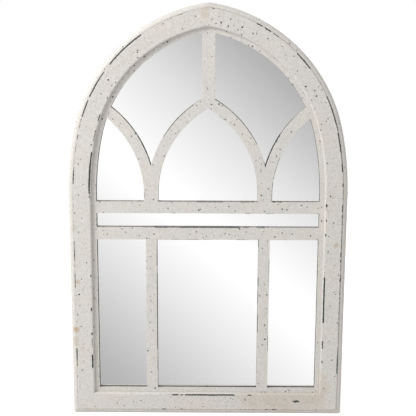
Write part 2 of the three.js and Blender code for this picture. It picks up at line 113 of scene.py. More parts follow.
# ---------------------------------------------------------------- wear, and painted shade
# Where the paint is rubbed through along an edge: (from, to, strength), in millimetres. On the
# sides the run starts at the foot and follows the outline up to the apex; on the rail it is x.
# These marks, the specks and the stains follow those of the piece that this one is rebuilt from.

WORN = {
    "left": {
        "step": [
            (86, 92, 0.5), (113, 130, 0.6), (128, 155, 0.85), (140, 154, 1.0), (296, 330, 0.6),
            (342, 348, 0.5), (356, 402, 0.6), (365, 378, 0.8), (428, 450, 0.35), (470, 500, 0.35),
            (530, 560, 0.75), (562, 580, 0.45), (598, 612, 0.45), (628, 640, 0.6),
            (660, 676, 0.45), (680, 719, 0.9), (728, 775, 1.0), (776, 790, 0.8),
            (812, 870, 1.0), (868, 906, 1.0), (968, 985, 0.4), (995, 1010, 0.45),
        ],
        "inner": [
            (110, 140, 1.0), (160, 180, 0.5), (187, 192, 0.9), (243, 250, 0.8), (321, 326, 0.7),
            (499, 504, 0.6), (508, 600, 0.8), (525, 580, 1.0), (585, 606, 0.75), (632, 660, 0.5),
            (684, 700, 0.6), (743, 747, 0.6),
        ],
        "bead": [(430, 505, 0.45), (900, 960, 0.35)],
        "foot": [(880, 896, 0.8), (901, 904, 0.6), (950, 963, 0.9)],
    },
    "right": {
        "step": [
            (18, 32, 0.3), (98, 142, 0.9), (108, 130, 1.0), (140, 160, 0.6), (165, 205, 0.4),
            (208, 312, 0.5), (314, 322, 0.95), (325, 328, 0.8), (338, 358, 0.5), (357, 363, 0.95),
            (369, 379, 0.95), (384, 456, 0.55), (457, 463, 0.85), (469, 486, 0.8),
            (498, 522, 0.45), (526, 533, 0.95), (560, 577, 1.0), (577, 600, 0.55),
            (602, 646, 1.0), (649, 662, 0.6), (664, 712, 0.9), (710, 732, 0.75), (745, 770, 0.35),
            (802, 846, 0.9), (812, 836, 1.0), (900, 916, 0.55), (921, 936, 0.85),
            (942, 956, 0.85), (1053, 1060, 0.5),
        ],
        "inner": [
            (123, 129, 0.6), (157, 175, 0.75), (218, 322, 1.0), (320, 336, 0.4), (416, 420, 0.8),
            (448, 453, 0.6), (474, 477, 0.5), (481, 487, 0.95),
        ],
        "bead": [(775, 862, 0.4)],
        "foot": [(905, 912, 0.6)],
    },
    "rail": {
        "step": [
            (-152, -120, 0.4), (-106, -98, 0.95), (-63, -57, 0.7), (-35, -25, 0.3),
            (74, 116, 0.45), (138, 151, 0.5), (154, 162, 0.95),
        ],
        "inner": [
            (-108, -88, 0.35), (-92, -77, 0.95), (-71, -64, 0.75), (-58, 72, 1.0),
            (109, 118, 0.65),
        ],
        "bead": [(13, 20, 0.6)],
        "foot": [(-92, -5, 0.3)],
    },
}
MASKS = ("edge", "worn", "crease_shade_and_grime", "stain")
WALL_WEAR_AND_SHADE = 0.62  # how dark the back of the fretwork's cut sides is made, save where they face up: unpainted undercoat and painted shade
EDGE_REACH = 1.2  # how far from its edge the paint is thin
STREAK_REACH = 1.8  # how far from its edge a worn streak reaches

# Larger specks on the members' faces: (run, inset, radius).
SPECKS = {
    "left": [
        (103, 23, 0.9), (125, 26, 0.8), (165, 26, 0.7), (207, 22, 0.9), (205, 52, 2.2),
        (234, 14, 0.9), (255, 20, 0.9), (265, 53, 1.9), (272, 53, 1.4), (281, 19, 1.3),
        (316, 25, 0.9), (505, 23, 0.9), (530, 33, 0.8), (575, 20, 0.9), (783, 28, 1.3),
        (878, 35, 0.9), (1000, 40, 0.9), (1035, 23, 0.9),
    ],
    "right": [
        (175, 31, 0.8), (218, 14, 0.9), (284, 20, 0.9), (327, 15, 0.9), (446, 29, 0.9),
        (505, 38, 1.3), (683, 25, 0.9), (679, 30, 0.8), (720, 18, 0.8), (743, 30, 1.3),
        (740, 43, 0.9), (768, 42, 0.8), (776, 40, 1.4), (812, 17, 0.8), (818, 35, 0.8),
        (848, 20, 0.9), (937, 42, 0.8), (985, 31, 1.3), (1018, 39, 1.3), (1036, 36, 1.4),
        (1036, 42, 0.8), (1048, 40, 0.9),
    ],
    "rail": [
        (-200, 18, 0.9), (-183, 28, 0.8), (-169, 31, 0.8), (-255, 16, 0.9), (-10, 17, 0.8),
        (-38, 27, 0.8), (47, 20, 0.9), (67, 35, 0.8), (97, 34, 1.2), (140, 11, 0.8),
        (218, 31, 1.4), (222, 30, 1.8), (227, 32, 1.9), (231, 31, 1.5),
    ],
}
# Tan stains: (run, inset, radius, strength).
STAINS = {
    "left": [
        (199, 11, 5, 1.0), (309, 17, 4, 0.6), (172, 8, 8, 0.3), (157, 25, 3, 0.4), (430, 11, 5, 0.3),
        (1060, 20, 9, 0.35),
    ],
    "right": [(395, 22, 4, 0.7), (60, 50, 16, 0.35), (90, 52, 10, 0.25)],
    "rail": [(120, 50, 30, 0.3), (175, 50, 35, 0.4), (235, 50, 25, 0.35)],
}

# The fretwork's rubbed edges, as lines in the drawing: (points, strength). A helper script worked
# out this list and the next from points noted on a picture, and looked for dark specks in it.
FRET_WORN = [
    ([(-95, 633), (-82, 651), (-61, 674), (-35, 697)], 0.75),
    ([(-86, 645), (-52, 684)], 0.95),
    ([(18, 711), (50, 688), (85, 647), (103, 619)], 0.6),
    ([(83, 649), (103, 619)], 0.85),
    ([(23, 684), (38, 669)], 0.6),
    ([(123, 572), (129, 587), (137, 609), (152, 635)], 0.65),
    ([(123, 572), (129, 587)], 1.0),
    ([(-147, 629), (-134, 601), (-123, 573)], 0.5),
    ([(153, 583), (147, 565), (142, 543)], 0.7),
    ([(139, 530), (137, 517)], 1.0),
    ([(137, 510), (137, 495)], 1.0),
    ([(-138, 508), (-138, 503)], 1.0),
    ([(-106, 569), (-107, 564)], 1.0),
    ([(-109, 490), (-17, 490)], 0.4),
    ([(-20, 490), (28, 490)], 0.7),
    ([(74, 490), (96, 490)], 0.55),
    ([(137, 490), (161, 490)], 0.55),
    ([(-77, 464), (-72, 464)], 0.95),
    ([(84, 464), (89, 464)], 1.0),
    ([(129, 464), (139, 464)], 0.75),
    ([(-142, 433), (-111, 433)], 0.45),
    ([(-111, 433), (-92, 433)], 0.9),
    ([(-92, 433), (-54, 433)], 0.6),
    ([(-54, 433), (66, 433)], 0.95),
    ([(81, 433), (86, 433)], 0.65),
    ([(112, 433), (121, 433)], 0.75),
    ([(-112, 405), (-74, 405)], 0.55),
    ([(-76, 405), (-68, 405)], 0.85),
    ([(-68, 405), (3, 405)], 0.65),
    ([(-44, 405), (-24, 405)], 1.0),
    ([(66, 405), (75, 405)], 1.0),
    ([(82, 405), (86, 405)], 0.75),
    ([(-112, 404), (-112, 377)], 0.55),
    ([(-112, 368), (-112, 350)], 0.9),
    ([(-112, 322), (-112, 154)], 0.8),
    ([(-112, 138), (-112, 107)], 0.45),
    ([(112, 405), (112, 394)], 0.6),
    ([(112, 316), (112, 303)], 1.0),
    ([(112, 284), (112, 263)], 0.55),
    ([(112, 231), (112, 198)], 0.65),
    ([(136, 358), (136, 337)], 1.0),
    ([(136, 337), (136, 300)], 0.6),
    ([(136, 182), (136, 153)], 0.95),
]
# Larger specks on the fretwork: (x, y, radius).
FRET_SPECKS = [
    (-20, 471, 1.5), (17, 477, 0.9), (22, 472, 0.9), (59, 470, 1.2), (-61, 473, 0.8),
    (-75, 413, 0.9), (-40, 417, 0.9), (-12, 419, 0.9), (-3, 413, 1.0), (47, 417, 1.2),
    (60, 414, 0.9), (118, 418, 0.8), (-70, 639, 1.0), (-46, 664, 0.8), (36, 670, 1.2),
    (48, 663, 0.9), (56, 658, 1.3), (73, 638, 1.1), (103, 581, 1.0), (110, 588, 0.8),
    (116, 588, 1.0), (119, 580, 1.0), (114, 557, 1.0), (131, 519, 1.2), (120, 495, 1.0),
    (140, 578, 1.0), (-126, 366, 1.1), (-126, 240, 0.8), (-128, 214, 1.2), (-122, 196, 1.0),
    (120, 386, 1.1), (126, 304, 1.0), (128, 209, 1.6), (129, 176, 1.9), (162, 474, 1.4),
    (172, 473, 1.4), (204, 483, 1.4), (216, 479, 1.1), (-180, 421, 1.1), (163, 421, 1.3),
    (185, 419, 1.2), (7, 802, 0.9),
]


def strength(marks, run):
    """How worn an edge is at a run along it: the strongest mark there, with soft ends."""
    best = 0.0
    for start, end, value in marks:
        inside = min(run - start, end - run)
        best = max(best, value * min(1.0, max(0.0, inside / 1.5 + 1.0)))
    return best


# ---------------------------------------------------------------- frame members


def arc(centre_u, centre_v, width, height, start, end, steps):
    """Points along an elliptical arc, both ends included, angles in degrees."""
    angles = np.radians(np.linspace(start, end, steps + 1))
    return [(centre_u + width * math.cos(a), centre_v + height * math.sin(a)) for a in angles]


def frame_section():
    """The members' section, from the back of the outer side round to the back of the rebate."""
    bead_base = FACE_Z - BEAD_STEP - BEAD_RISE
    round_u = FRAME_WIDTH - ROUND_WIDTH
    points = arc(0.8, 0.8, 0.8, 0.8, 270, 180, 3)
    points += [(0, 4.5), (0, 9)]
    points += arc(BEAD_WIDTH, bead_base, BEAD_WIDTH, BEAD_RISE, 180, 90, 10)
    points += [(BEAD_WIDTH, FACE_Z - BEAD_STEP / 2 - ARRIS / 2)]
    points += arc(BEAD_WIDTH + ARRIS, FACE_Z - ARRIS, ARRIS, ARRIS, 180, 90, 3)
    points += [(u, FACE_Z) for u in np.linspace(BEAD_WIDTH + ARRIS, round_u, 29)[1:-1]]
    points += arc(round_u, FACE_Z - ROUND_DROP, ROUND_WIDTH, ROUND_DROP, 90, 0, 9)
    points += [(FRAME_WIDTH, REBATE_DEPTH), (REBATE_WALL, REBATE_DEPTH), (REBATE_WALL, 0)]
    return [(float(u), float(v)) for u, v in points]


SECTION = frame_section()
INSETS = np.array([u for u, v in SECTION])
IN_FRONT = np.array([v > REBATE_DEPTH for u, v in SECTION])
GIRTH = np.concatenate([[0], np.cumsum([math.dist(a, b) for a, b in zip(SECTION, SECTION[1:])])])


def girth_at(u, v):
    """Way along the section to its point nearest to (u, v)."""
    return GIRTH[min(range(len(SECTION)), key=lambda i: math.dist(SECTION[i], (u, v)))]


LINES = {
    "bead": girth_at(0.5, FACE_Z - BEAD_STEP - BEAD_RISE + 1),
    "step": girth_at(BEAD_WIDTH + 0.4, FACE_Z),
    "inner": girth_at(FRAME_WIDTH - ROUND_WIDTH - 0.4, FACE_Z),
    "foot": girth_at(FRAME_WIDTH, REBATE_DEPTH + 1),
}
# The step's inner corner: darkened all along as painted shade, with some dirt.
CREASE = girth_at(BEAD_WIDTH, FACE_Z - BEAD_STEP)
FIRST_RAW = len(SECTION) - 2  # sides of the section from here on are bare wood


def new_mesh(name, points, faces):
    mesh = bpy.data.meshes.new(name)
    mesh.from_pydata([tuple(p) for p in points], [], faces)
    piece = bpy.data.objects.new(name, mesh)
    bpy.context.scene.collection.objects.link(piece)
    return piece


def smooth(piece, degrees=35, widest=4e-5):
    """Smooth shading, with sharp edges where it bends more and faces over an area left flat."""
    mesh = piece.data
    mesh.set_sharp_from_angle(angle=math.radians(degrees))
    mesh.polygons.foreach_set("use_smooth", [face.area < widest for face in mesh.polygons])


def put_attribute(mesh, name, values):
    mesh.attributes.new(name, "FLOAT", "POINT").data.foreach_set("value", np.asarray(values, np.float32))


def placed(runs, spots):
    """Specks and stains on a member's face, for each station and point of the section."""
    field = np.zeros((len(runs), len(SECTION)))
    runs = np.asarray(runs)
    for run, inset, radius, value in spots:
        near = np.abs(runs - run) < 2 * radius
        far = np.hypot(runs[near][:, None] - run, INSETS[None, :] - inset)
        share = np.clip(1.9 - far / radius, 0, 1) * value * IN_FRONT
        field[near] = np.maximum(field[near], share)
    return field


def member(name, node, stations, runs, side):
    """A member swept along its stations. Each gives the drawing's x and y for an inset."""
    marks = WORN[side]
    sides = len(SECTION)
    points = [(*station(u), v) for station in stations for u, v in SECTION]
    faces = []
    for i in range(len(stations) - 1):
        for j in range(sides):
            k = (j + 1) % sides
            faces.append((i * sides + j, i * sides + k, (i + 1) * sides + k, (i + 1) * sides + j))
    last = (len(stations) - 1) * sides
    faces.append(tuple(range(sides - 1, -1, -1)))
    faces.append(tuple(range(last, last + sides)))
    piece = new_mesh(name, place(points), faces)
    mesh = piece.data
    bm = bmesh.new()
    bm.from_mesh(mesh)
    bmesh.ops.recalc_face_normals(bm, faces=bm.faces)
    bm.to_mesh(mesh)
    bm.free()

    worn = np.zeros((len(stations), sides))
    for line, way in LINES.items():
        along = np.array([strength(marks.get(line, []), run) for run in runs])
        across = np.exp(-(((GIRTH - way) / STREAK_REACH) ** 2))
        worn = np.maximum(worn, along[:, None] * across[None, :])
    full_specks = [(run, inset, radius, 1.0) for run, inset, radius in SPECKS[side]]
    worn = np.maximum(worn, placed(runs, full_specks))
    stain = placed(runs, STAINS[side])
    edge = np.max([np.exp(-(((GIRTH - way) / EDGE_REACH) ** 2)) for way in LINES.values()], axis=0)
    # Painted shade with some dirt, in a narrow band along the step's crease.
    crease_shade_and_grime = np.exp(-(((GIRTH - CREASE) / 0.9) ** 2))
    count = len(stations)
    put_attribute(mesh, "worn", worn.ravel())
    put_attribute(mesh, "edge", np.tile(edge, count))
    put_attribute(mesh, "crease_shade_and_grime", np.tile(crease_shade_and_grime, count))
    put_attribute(mesh, "stain", stain.ravel())
    mesh.materials.append(ARCH_PAINT if "arch" in name else PAINT)
    mesh.materials.append(RAW_WOOD)
    raw = [int(f < len(faces) - 2 and f % sides >= FIRST_RAW - 1) for f in range(len(faces))]
    mesh.polygons.foreach_set("material_index", raw)
    smooth(piece)
    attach(piece, "frame")
    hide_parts(node)


def spread(start, end):
    """Stations from start to end, closer together near both ends."""
    ends = [0, 0.5, 1, 1.5, 2, 2.5, 3, 3.5, 4, 4.5, 5, 5.5, 6, 7]
    inner = np.linspace(start + 8, end - 8, int((end - start - 16) / STEP) + 1)
    return [start + e for e in ends] + list(inner) + [end - e for e in reversed(ends)]


def rounded(x, y, inset):
    """The point moved in where it lies outside a rounded bottom corner."""
    reach = max(CORNER_RADIUS - inset, 0)
    side = math.copysign(1, x)
    dx, dy = abs(x) - (HALF_WIDTH - CORNER_RADIUS), CORNER_RADIUS - y
    far = math.hypot(dx, dy)
    if dx <= 0 or dy <= 0 or far <= reach:
        return x, y
    return side * (abs(x) - dx * (1 - reach / far)), y + dy * (1 - reach / far)


def along_rail(run):
    """Station of the bottom rail, with mitred ends."""
    share = (run + HALF_WIDTH) / (2 * HALF_WIDTH)

    def at(inset):
        half = HALF_WIDTH - inset - SEAM
        x = -half + 2 * half * share
        if share < 0.1:
            x = max(run, -half)
        if share > 0.9:
            x = min(run, half)
        return rounded(x, inset, inset)

    return at


def along_stile(run, side):
    """Station of a stile, mitred at its foot."""
    def at(inset):
        x, y = rounded(HALF_WIDTH - inset, max(run, inset + SEAM), inset)
        return side * x, y

    return at


def around(centre_x, centre_y, radius, angle):
    return centre_x + radius * math.cos(angle), centre_y + radius * math.sin(angle)


def crown_end(inset, side=0.0):
    return math.acos((side - crown_x) / (CROWN_RADIUS - inset))


def along_arch(share, side):
    """Station of an arch member, at a share of its length from the springing to the apex."""
    length = HAUNCH_RUN + CROWN_RADIUS * (crown_end(0) - HAUNCH_ANGLE)
    run = share * length

    def at(inset):
        if run <= HAUNCH_RUN:
            angle = run / HAUNCH_RADIUS
            x, y = around(haunch_x, SPRINGING, HAUNCH_RADIUS - inset, angle)
            y = max(y, SPRINGING + SEAM)
        else:
            part = (run - HAUNCH_RUN) / (length - HAUNCH_RUN)
            angle = HAUNCH_ANGLE + part * (crown_end(inset, SEAM) - HAUNCH_ANGLE)
            x, y = around(crown_x, crown_y, CROWN_RADIUS - inset, angle)
        return side * x, y

    return at, SPRINGING + run


def build_frame():
    runs = spread(-HALF_WIDTH, HALF_WIDTH)
    member("painted_rail", "bottom_rail", [along_rail(r) for r in runs], runs, "rail")
    for name, side in (("left", -1), ("right", 1)):
        runs = spread(0, SPRINGING - SEAM)
        stations = [along_stile(r, side) for r in runs]
        member(f"painted_stile_{name}", f"stile_{name}", stations, runs, name)
        shares = np.linspace(0, 1, 436)
        stations, runs = zip(*[along_arch(s, side) for s in shares])
        member(f"painted_arch_{name}", f"arch_member_{name}", stations, runs, name)


# ---------------------------------------------------------------- materials


def node(tree, kind, sockets=None, **settings):
    """A new shader node with its settings and its sockets' values or links."""
    made = tree.nodes.new("ShaderNode" + kind)
    for key, value in settings.items():
        setattr(made, key, value)
    for key, value in (sockets or {}).items():
        if isinstance(value, bpy.types.NodeSocket):
            tree.links.new(value, made.inputs[key])
        else:
            made.inputs[key].default_value = value
    return made


def calc(tree, operation, a, b):
    """The result of one step of arithmetic on values or links."""
    return node(tree, "Math", {0: a, 1: b}, operation=operation).outputs[0]


def ramp(tree, value, low, high, to_low=0.0, to_high=1.0, kind="SMOOTHSTEP"):
    """The value mapped from one range to another and held at its ends."""
    sockets = {"Value": value, "From Min": low, "From Max": high, "To Min": to_low, "To Max": to_high}
    return node(tree, "MapRange", sockets, interpolation_type=kind).outputs[0]


def blend(tree, share, a, b, mode="MIX"):
    """Two colours mixed."""
    made = node(tree, "Mix", data_type="RGBA", blend_type=mode)
    for socket, value in ((made.inputs[0], share), (made.inputs[6], a), (made.inputs[7], b)):
        if isinstance(value, bpy.types.NodeSocket):
            tree.links.new(value, socket)
        else:
            socket.default_value = value
    return made.outputs[2]


def noise(tree, coords, scale, detail=2.0, roughness=0.5):
    sockets = {"Vector": coords, "Scale": scale, "Detail": detail, "Roughness": roughness}
    return node(tree, "TexNoise", sockets).outputs["Fac"]


def srgb(red, green, blue):
    """A colour given as on screen, 0 to 255, as the linear values that shaders take."""
    def linear(value):
        share = value / 255
        return share / 12.92 if share <= 0.04045 else ((share + 0.055) / 1.055) ** 2.4

    return linear(red), linear(green), linear(blue), 1.0


def material(name):
    """A new material, its tree, its principled shader and its object coordinates."""
    made = bpy.data.materials.new(name)
    made.use_nodes = True
    tree = made.node_tree
    shader = tree.nodes["Principled BSDF"]
    coords = node(tree, "TexCoord").outputs["Object"]
    return made, tree, shader, coords


def link(tree, source, shader, socket):
    tree.links.new(source, shader.inputs[socket])


def attribute(tree, name):
    return node(tree, "Attribute", attribute_name=name).outputs["Fac"]


def bump(tree, height, distance, shader):
    made = node(tree, "Bump", {"Height": height, "Distance": distance, "Strength": 1.0})
    link(tree, made.outputs[0], shader, "Normal")


def specks(tree, coords, cell, share, smallest, largest):
    """Specks, one in a share of the cells and most of them small. Sizes are in metres."""
    cells = node(tree, "TexVoronoi", {"Vector": coords, "Scale": 1 / cell})
    parts = node(tree, "SeparateColor", {"Color": cells.outputs["Color"]})
    skewed = calc(tree, "POWER", parts.outputs[0], 3.0)
    radius = ramp(tree, skewed, 0, 1, smallest / cell, largest / cell, "LINEAR")
    gap = calc(tree, "SUBTRACT", radius, cells.outputs["Distance"])
    inside = ramp(tree, gap, 0.0, 0.4 * smallest / cell)
    active = calc(tree, "LESS_THAN", parts.outputs[1], share)
    return calc(tree, "MULTIPLY", inside, active)


PAINT_COOL = srgb(212, 209, 204)
PAINT_WARM = srgb(214, 209, 202)
# Dark undercoat where the paint is worn through; on the fretwork's cut sides it is painted shade too.
UNDERCOAT_AND_WALL_SHADE = srgb(40, 50, 45)
# Grey-brown for dirt specks, and for the painted shade in the step's crease.
GRIME_AND_CREASE_SHADE = srgb(128, 118, 100)
TAN = srgb(176, 140, 84)


def painted(name, speck_share, largest):
    """Off-white paint, speckled, rubbed through to a dark undercoat along the edges, with painted shade
    and some dirt in the step's crease; on the fretwork's cut sides the undercoat is painted shade too.
    """
    made, tree, shader, coords = material(name)
    fine = noise(tree, coords, 420, 3, 0.6)
    broad = noise(tree, coords, 14, 3, 0.55)
    colour = blend(tree, ramp(tree, broad, 0.4, 0.7), PAINT_COOL, PAINT_WARM)
    cloud = ramp(tree, noise(tree, coords, 210, 3, 0.7), 0.3, 0.7, 0.91, 1.08, "LINEAR")
    grain = ramp(tree, fine, 0.25, 0.75, 0.93, 1.07, "LINEAR")
    shade = calc(tree, "MULTIPLY", cloud, grain)
    shade = node(tree, "CombineColor", {0: shade, 1: shade, 2: shade}).outputs[0]
    colour = blend(tree, 1.0, colour, shade, "MULTIPLY")

    warp = node(tree, "TexNoise", {"Vector": coords, "Scale": 700.0, "Detail": 2.0})
    bent = node(tree, "VectorMath", {0: warp.outputs["Color"], 1: (0.0016,) * 3}, operation="MULTIPLY")
    bent = node(tree, "VectorMath", {0: coords, 1: bent.outputs[0]}, operation="ADD").outputs[0]
    pale = specks(tree, bent, 0.0046, 0.6, 0.0005, 0.0013)
    dark = specks(tree, bent, 0.0078, speck_share, 0.00042, largest)
    colour = blend(tree, calc(tree, "MULTIPLY", pale, 0.42), colour, GRIME_AND_CREASE_SHADE)
    stain = ramp(tree, noise(tree, coords, 160, 4, 0.6), 0.25, 0.75, 0.35, 1.0)
    stain = calc(tree, "MULTIPLY", stain, attribute(tree, "stain"))
    colour = blend(tree, calc(tree, "MULTIPLY", stain, 0.8), colour, TAN)

    # Painted crease shade with some dirt, a little uneven along the member.
    crease_shade_and_grime = calc(tree, "MULTIPLY", attribute(tree, "crease_shade_and_grime"), ramp(tree, broad, 0.3, 0.7, 0.35, 0.6))
    colour = blend(tree, crease_shade_and_grime, colour, GRIME_AND_CREASE_SHADE)

    patch = noise(tree, coords, 330, 5, 0.68)
    long_patch = noise(tree, coords, 55, 2, 0.5)
    rub_and_wall_shade = calc(tree, "MULTIPLY", attribute(tree, "edge"), ramp(tree, long_patch, 0.5, 0.72, 0.0, 0.36))
    # The worn mask also holds the fretwork's dark cut sides: undercoat and painted shade.
    rub_and_wall_shade = calc(tree, "MAXIMUM", attribute(tree, "worn"), rub_and_wall_shade)
    rub_and_wall_shade = calc(tree, "ADD", rub_and_wall_shade, ramp(tree, patch, 0.2, 0.8, -0.42, 0.42, "LINEAR"))
    worn = ramp(tree, rub_and_wall_shade, 0.38, 0.5)
    missing_paint_and_wall_shade = calc(tree, "MAXIMUM", worn, calc(tree, "MULTIPLY", dark, 0.9))
    colour = blend(tree, missing_paint_and_wall_shade, colour, UNDERCOAT_AND_WALL_SHADE)
    link(tree, colour, shader, "Base Color")
    link(tree, ramp(tree, missing_paint_and_wall_shade, 0, 1, 0.5, 0.72, "LINEAR"), shader, "Roughness")

    height = calc(tree, "MULTIPLY", missing_paint_and_wall_shade, -0.8)
    height = calc(tree, "ADD", height, calc(tree, "MULTIPLY", fine, 0.22))
    height = calc(tree, "ADD", height, calc(tree, "MULTIPLY", noise(tree, coords, 130, 3), 0.3))
    bump(tree, height, 0.00025, shader)
    return made


def raw_wood(name, pale, deep):
    """Bare board, with short fibres."""
    made, tree, shader, coords = material(name)
    fibres = node(tree, "Mapping", {"Vector": coords, "Scale": (120.0, 400.0, 420.0)}).outputs[0]
    grain = noise(tree, fibres, 1.0, 4, 0.6)
    patch = noise(tree, coords, 30, 3)
    share = calc(tree, "ADD", calc(tree, "MULTIPLY", grain, 0.7), calc(tree, "MULTIPLY", patch, 0.3))
    link(tree, blend(tree, ramp(tree, share, 0.35, 0.65), deep, pale), shader, "Base Color")
    link(tree, ramp(tree, grain, 0, 1, 0.68, 0.9, "LINEAR"), shader, "Roughness")
    bump(tree, grain, 0.00012, shader)
    return made


def zinc(name, brightness):
    """Zinc plating with faint spangle and handling marks."""
    made, tree, shader, coords = material(name)
    patch = noise(tree, coords, 240, 4, 0.6)
    dull = srgb(*(brightness * v for v in (168, 168, 164)))
    bright = srgb(*(brightness * v for v in (200, 202, 205)))
    link(tree, blend(tree, ramp(tree, patch, 0.35, 0.65), dull, bright), shader, "Base Color")
    shader.inputs["Metallic"].default_value = 1.0
    link(tree, ramp(tree, patch, 0.3, 0.7, 0.42, 0.26, "LINEAR"), shader, "Roughness")
    bump(tree, noise(tree, coords, 1400, 2), 0.00003, shader)
    return made


def rubber_material():
    made, tree, shader, coords = material("rubber")
    patch = noise(tree, coords, 500, 3)
    link(tree, blend(tree, patch, srgb(26, 26, 27), srgb(44, 43, 42)), shader, "Base Color")
    link(tree, ramp(tree, patch, 0.2, 0.8, 0.75, 0.92, "LINEAR"), shader, "Roughness")
    bump(tree, patch, 0.00006, shader)
    return made


def silver_material():
    """The silvering, seen through the glass."""
    made, tree, shader, coords = material("silvering")
    cloud = noise(tree, coords, 6, 2)
    link(tree, blend(tree, cloud, (0.93, 0.925, 0.925, 1), (0.95, 0.945, 0.945, 1)), shader, "Base Color")
    shader.inputs["Metallic"].default_value = 1.0
    shader.inputs["Roughness"].default_value = 0.004
    return made


def glass_material():
    made, _, shader, _ = material("clear_glass")
    shader.inputs["Base Color"].default_value = (0.99, 1.0, 0.995, 1)
    shader.inputs["Roughness"].default_value = 0.0
    shader.inputs["IOR"].default_value = 1.52
    shader.inputs["Transmission Weight"].default_value = 1.0
    return made


PAINT = painted("worn_paint", 0.68, 0.0017)
ARCH_PAINT = painted("worn_paint_on_the_arch", 0.85, 0.0019)
FRET_PAINT = painted("worn_paint_on_board", 0.95, 0.002)
RAW_WOOD = raw_wood("raw_wood", srgb(190, 158, 116), srgb(150, 116, 78))
HARDBOARD = raw_wood("hardboard", srgb(132, 98, 66), srgb(96, 68, 44))
BEECH = raw_wood("beech", srgb(206, 172, 128), srgb(176, 138, 94))
# Near black for the fretwork's back against the glass: dark undercoat, and painted shade of the gap
# between board and glass.
DARK_BOARD_AND_GAP_SHADE = raw_wood("dark_board_back_and_gap_shade", srgb(52, 50, 42), srgb(30, 32, 28))
ZINC_PLATE = zinc("zinc_plate", 1.0)
ZINC_WIRE = zinc("zinc_wire", 1.05)
ZINC_SCREW = zinc("zinc_screw", 0.95)
RUBBER = rubber_material()
SILVER = silver_material()
CLEAR_GLASS = glass_material()

# ---------------------------------------------------------------- pieces made from the solids

SLOTS = {part["node"]: part["material_slot"] for part in frame["record"]["subparts"]}


def copy_of(name, source):
    """A new piece with the node's mesh, its corners joined and its flat faces whole."""
    mesh = frame["nodes"][source].data.copy()
    mesh.name = name
    mesh.materials.clear()
    piece = bpy.data.objects.new(name, mesh)
    bpy.context.scene.collection.objects.link(piece)
    bm = bmesh.new()
    bm.from_mesh(mesh)
    bmesh.ops.remove_doubles(bm, verts=bm.verts, dist=2e-6)
    bmesh.ops.dissolve_limit(bm, angle_limit=math.radians(0.5), verts=bm.verts, edges=bm.edges)
    return piece, bm


def finish_piece(piece, bm, source, body, coat):
    """The piece given its mesh and material and put in its node's place."""
    bm.to_mesh(piece.data)
    bm.free()
    piece.data.materials.append(coat)
    smooth(piece)
    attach(piece, body)
    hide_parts(source)


def sharp_edges(bm, degrees=30):
    limit = math.radians(degrees)
    return [e for e in bm.edges if len(e.link_faces) == 2 and e.calc_face_angle(0) > limit]


def eased(name, source, body, coat, width):
    """The node's shape with its sharp edges eased by a width in millimetres."""
    piece, bm = copy_of(name, source)
    bmesh.ops.bevel(
        bm, geom=sharp_edges(bm), offset=width * MM, segments=2, profile=0.6,
        affect="EDGES", clamp_overlap=True,
    )
    finish_piece(piece, bm, source, body, coat)


def outline(inset):
    """The outline's points at an inset, anticlockwise from the left foot, in the drawing."""
    side = HALF_WIDTH - inset
    right = [(side, y) for y in np.linspace(inset, SPRINGING, 60)]
    for angle in np.linspace(0, HAUNCH_ANGLE, 20)[1:]:
        right.append(around(haunch_x, SPRINGING, HAUNCH_RADIUS - inset, angle))
    for angle in np.linspace(HAUNCH_ANGLE, crown_end(inset), 70)[1:]:
        right.append(around(crown_x, crown_y, CROWN_RADIUS - inset, angle))
    foot = [(x, inset) for x in np.linspace(-side, side, 80)[1:-1]]
    return foot + right + [(-x, y) for x, y in reversed(right[:-1])]


def union_of(points, faces):
    """Points and triangles of the faces' union, all in the plane."""
    points = [Vector(p) for p in points]
    made, _, triangles, _, _, origins = delaunay_2d_cdt(points, [], faces, 0, 1e-4)
    return made, [t for t, origin in zip(triangles, origins) if origin]


def near_line(x, y, line):
    """Distance from a point to a line of several points."""
    best = 1e9
    for (ax, ay), (bx, by) in zip(line, line[1:]):
        length = (bx - ax) ** 2 + (by - ay) ** 2
        share = max(0.0, min(1.0, ((x - ax) * (bx - ax) + (y - ay) * (by - ay)) / length))
        best = min(best, math.hypot(x - ax - share * (bx - ax), y - ay - share * (by - ay)))
    return best


def rubbed(x, y):
    """How worn the fretwork's edge is at a point of the drawing."""
    return max([value for line, value in FRET_WORN if near_line(x, y, line) < RUB_REACH], default=0.0)


def drawn(vert):
    return vert.co.x / MM, (vert.co.z - FOOT_Z) / MM


def split_rim(bm, edges, longest):
    for edge in edges:
        cuts = int(edge.calc_length() / (longest * MM))
        if cuts:
            bmesh.ops.subdivide_edges(bm, edges=[edge], cuts=cuts)


